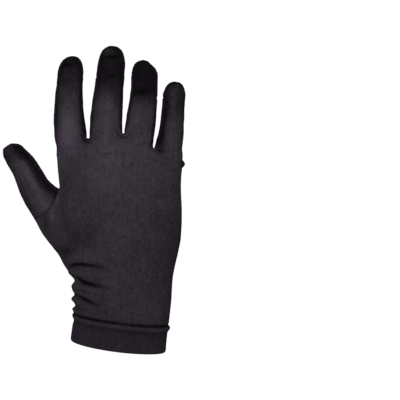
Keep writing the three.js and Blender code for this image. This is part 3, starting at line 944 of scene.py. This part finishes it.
def makeCamera():
    lens = bpy.data.cameras.new("camera")
    lens.sensor_width = 36
    lens.lens = 36 * camera["distance"] / camera["pictureWidth"]
    view = bpy.data.objects.new("camera", lens)
    view.location = (0, -camera["distance"], camera["height"])
    view.rotation_euler = (math.radians(90), 0, -math.atan(camera["aimAside"] / camera["distance"]))
    bpy.context.scene.collection.objects.link(view)
    bpy.context.scene.camera = view


makeCamera()


# materials: fine jersey on the hand, the same jersey painted darker on the strips for the shade between the fingers,
# and a narrow rib on the cuff

class Wire:
    # a node's output that takes part in sums, products and the like
    def __init__(self, surface, socket):
        self.surface = surface
        self.socket = socket

    def maths(self, operation, *values):
        return self.surface.add("ShaderNodeMath", {"operation": operation}, dict(enumerate(values)))

    def __add__(self, other):
        return self.maths("ADD", self, other)

    def __sub__(self, other):
        return self.maths("SUBTRACT", self, other)

    def __rsub__(self, other):
        return self.maths("SUBTRACT", other, self)

    def __mul__(self, other):
        return self.maths("MULTIPLY", self, other)

    def __truediv__(self, other):
        return self.maths("DIVIDE", self, other)

    def __abs__(self):
        return self.maths("ABSOLUTE", self)

    __radd__ = __add__
    __rmul__ = __mul__

    def wave(self):
        return self.maths("COSINE", self)

    def part(self):
        return self.maths("FRACT", self)

    def between(self, low, high):
        # 0 below low, 1 above high, and smooth between them
        return self.surface.add("ShaderNodeMapRange", {"interpolation_type": "SMOOTHSTEP"},
                                {"Value": self, "From Min": low, "From Max": high})


class Surface:
    def __init__(self, name):
        self.material = bpy.data.materials.new(name)
        self.material.use_nodes = True
        self.tree = self.material.node_tree
        self.shader = self.tree.nodes["Principled BSDF"]

    def connect(self, value, socket):
        if isinstance(value, Wire):
            self.tree.links.new(value.socket, socket)
        else:
            socket.default_value = value

    def add(self, kind, settings, inputs, output=0):
        node = self.tree.nodes.new(kind)
        for key, value in settings.items():
            setattr(node, key, value)
        for key, value in inputs.items():
            self.connect(value, node.inputs[key])
        return Wire(self, node.outputs[output])

    def attribute(self, name):
        return self.add("ShaderNodeAttribute", {"attribute_name": name}, {}, "Fac")

    def noise(self, vector, size, detail=2, roughness=0.5):
        # size is in the vector's own unit
        return self.add("ShaderNodeTexNoise", {}, {"Vector": vector, "Scale": 1 / size, "Detail": detail,
                                                   "Roughness": roughness}, "Fac")

    def mix(self, share, first, second):
        return self.add("ShaderNodeMix", {"data_type": "RGBA"}, {0: share, 6: first, 7: second}, 2)

    def give(self, **inputs):
        for key, value in inputs.items():
            self.connect(value, self.shader.inputs[key.replace("_", " ")])


def colour(red, green, blue):
    return (red, green, blue, 1)


handKnit = {
    "wale": 0.75, "course": 0.56,           # mm
    "dark": colour(0.0008, 0.0006, 0.0009),
    "light": colour(0.0150, 0.0118, 0.0157),
    "grey": colour(0.0126, 0.0111, 0.0129),
    "fuzz": colour(0.034, 0.028, 0.036),
    "seam": colour(0.0005, 0.0003, 0.0005),
}
# the hand's jersey painted darker, for the shade between the fingers
stripKnitInShade = {
    "wale": 0.75, "course": 0.56,
    "dark": colour(0.0008, 0.0006, 0.0009),
    "light": colour(0.0062, 0.0048, 0.0064),
    "grey": colour(0.0050, 0.0046, 0.0050),
    "fuzz": colour(0.026, 0.021, 0.027),
    "seam": colour(0.0005, 0.0003, 0.0005),
}
cuffRib = {
    "wale": 0.75, "course": 0.6,
    "dark": colour(0.0010, 0.0007, 0.0011),
    "light": colour(0.0093, 0.0068, 0.0100),
    "grey": colour(0.0079, 0.0067, 0.0082),
    "fuzz": colour(0.030, 0.024, 0.032),
    "seam": colour(0.0005, 0.0003, 0.0005),
}


def knitMaterial(name, facts):
    s = Surface(name)
    place = s.add("ShaderNodeUVMap", {"uv_map": "knit"}, {})
    u = s.add("ShaderNodeSeparateXYZ", {}, {0: place}, "X")
    v = s.add("ShaderNodeSeparateXYZ", {}, {0: place}, "Y")
    solid = s.add("ShaderNodeTexCoord", {}, {}, "Object")

    # yarn: each wale is a column of V stitches, two slanted legs side by side
    drift = s.noise(solid, 0.004, 3) - 0.5
    leg = abs((u / facts["wale"] + drift * 0.35).part() - 0.5) * 2
    across = (leg * (2 * math.pi)).wave() * -0.5 + 0.5
    along = ((v / facts["course"] + leg * 0.5 + drift * 0.4) * (2 * math.pi)).wave() * 0.5 + 0.5
    yarn = across * (along * 0.55 + 0.45)

    tone = s.attribute("tone")
    seam = 1 - s.attribute("seam").between(0.15, 0.75)
    cloudy = s.noise(solid, 0.008, 4, 0.65) - 0.5
    mottled = s.noise(solid, 0.0024, 3, 0.75) - 0.5
    stretched = s.add("ShaderNodeVectorMath", {"operation": "MULTIPLY"}, {0: place, 1: (1.0, 0.12, 1.0)})
    streaky = s.noise(stretched, 2.3, 3, 0.6) - 0.5
    blotches = cloudy * 0.45 + mottled * 1.2 + streaky * 0.5 + (yarn - 0.4) * 0.25
    shade = tone + blotches * (tone * 0.85 + 0.2)
    greyed = s.noise(solid, 0.03, 2).between(0.42, 0.62) * 0.4
    cloth = s.mix(shade.between(-0.15, 1.15), facts["dark"], s.mix(greyed, facts["light"], facts["grey"]))
    lint = s.noise(solid, 0.0007, 1).between(0.73, 0.82)
    fuzzy = s.mix(lint * 0.35, cloth, facts["fuzz"])
    # painted shade along the seams: close to them the colour goes almost black
    s.give(Base_Color=s.mix(seam * 0.85, fuzzy, facts["seam"]))
    s.give(Roughness=0.66 + mottled * 0.12 - tone * 0.08)
    s.give(Specular_IOR_Level=0.0, Sheen_Weight=0.01, Sheen_Roughness=0.45)
    s.give(Sheen_Tint=colour(0.8, 0.72, 0.82))
    hairs = s.noise(solid, 0.0003, 2) - 0.5
    height = yarn + hairs * 0.5 + mottled * 0.6 - seam * 1.4
    s.give(Normal=s.add("ShaderNodeBump", {}, {"Strength": 0.6, "Distance": 0.12 * mm, "Height": height}))
    return s.material


slots = {
    "hand_knit": knitMaterial("fine black jersey", handKnit),
    "strip_knit": knitMaterial("finger strip jersey in painted shade", stripKnitInShade),
    "cuff_rib": knitMaterial("narrow rib", cuffRib),
}
for name, piece in parts.items():
    piece.data.materials.append(slots[sewnPieces[name]["slot"]])
cuffCloth.data.materials.append(slots["cuff_rib"])
print("materials made")


# a white studio with one large soft light, high on the left, a weak one on the right and one behind

studio = {
    "world": 1.04,
    "floor": -400 * mm, "floorSize": 6,
    "aim": (-0.01, 0, 0.12),
    "lights": {
        "large": {"place": (-0.2, -1.25, 0.85), "size": 0.55, "power": 62},
        "fill": {"place": (0.25, -1.3, 0.2), "size": 0.8, "power": 4},
        "behind": {"place": (0.15, 1.25, 0.7), "size": 0.8, "power": 42},
    },
}


def makeStudio():
    world = bpy.data.worlds.new("studio")
    bpy.context.scene.world = world
    world.use_nodes = True
    back = world.node_tree.nodes["Background"]
    back.inputs["Color"].default_value = (1, 1, 1, 1)
    back.inputs["Strength"].default_value = studio["world"]
    for name, facts in studio["lights"].items():
        light = bpy.data.lights.new(name, "AREA")
        light.energy = facts["power"]
        light.size = facts["size"]
        lamp = bpy.data.objects.new(name, light)
        lamp.location = facts["place"]
        aim = Vector(studio["aim"]) - lamp.location
        lamp.rotation_euler = aim.to_track_quat("-Z", "Y").to_euler()
        bpy.context.scene.collection.objects.link(lamp)
    deselectAll()
    bpy.ops.mesh.primitive_plane_add(size=studio["floorSize"], location=(0, 0, studio["floor"]))
    floor = bpy.context.object
    floor.name = "floor"
    paper = Surface("white paper")
    paper.give(Base_Color=colour(0.97, 0.97, 0.97), Roughness=0.9, Specular_IOR_Level=0.1)
    floor.data.materials.append(paper.material)
    bpy.context.scene.view_settings.view_transform = "Standard"


makeStudio()
